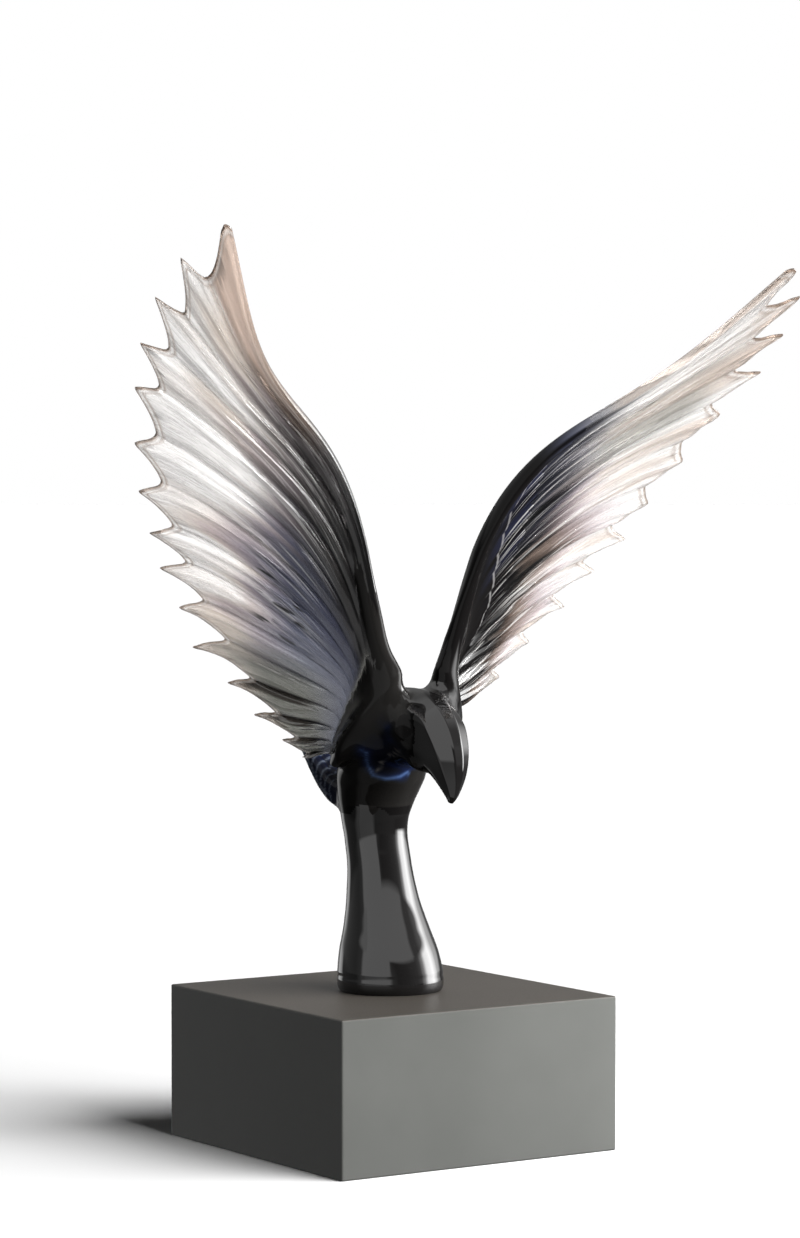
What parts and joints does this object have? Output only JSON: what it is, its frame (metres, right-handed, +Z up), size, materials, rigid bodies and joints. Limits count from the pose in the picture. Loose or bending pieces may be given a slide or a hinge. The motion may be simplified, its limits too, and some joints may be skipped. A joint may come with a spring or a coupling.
{
  "type": "resin eagle statue",
  "caption": "Table statue of an eagle with raised wings, cast in black-to-clear resin, on a square satin grey plinth.",
  "frame": {"origin": "centre of the plinth's underside", "axes": "+Z up; the bird faces -Y, its wings rise towards -X and +X, and the plinth's sides run along X and Y"},
  "size_m": [0.3597, 0.2226, 0.4756],
  "materials": {
    "cast_resin": "polished, near-black body fading through smoke blue to clear feather tips",
    "plinth_lacquer": "satin warm-grey lacquer"
  },
  "bodies": {
    "root": {"eagle": "cast_resin", "plinth": "plinth_lacquer"}
  },
  "joints": []
}
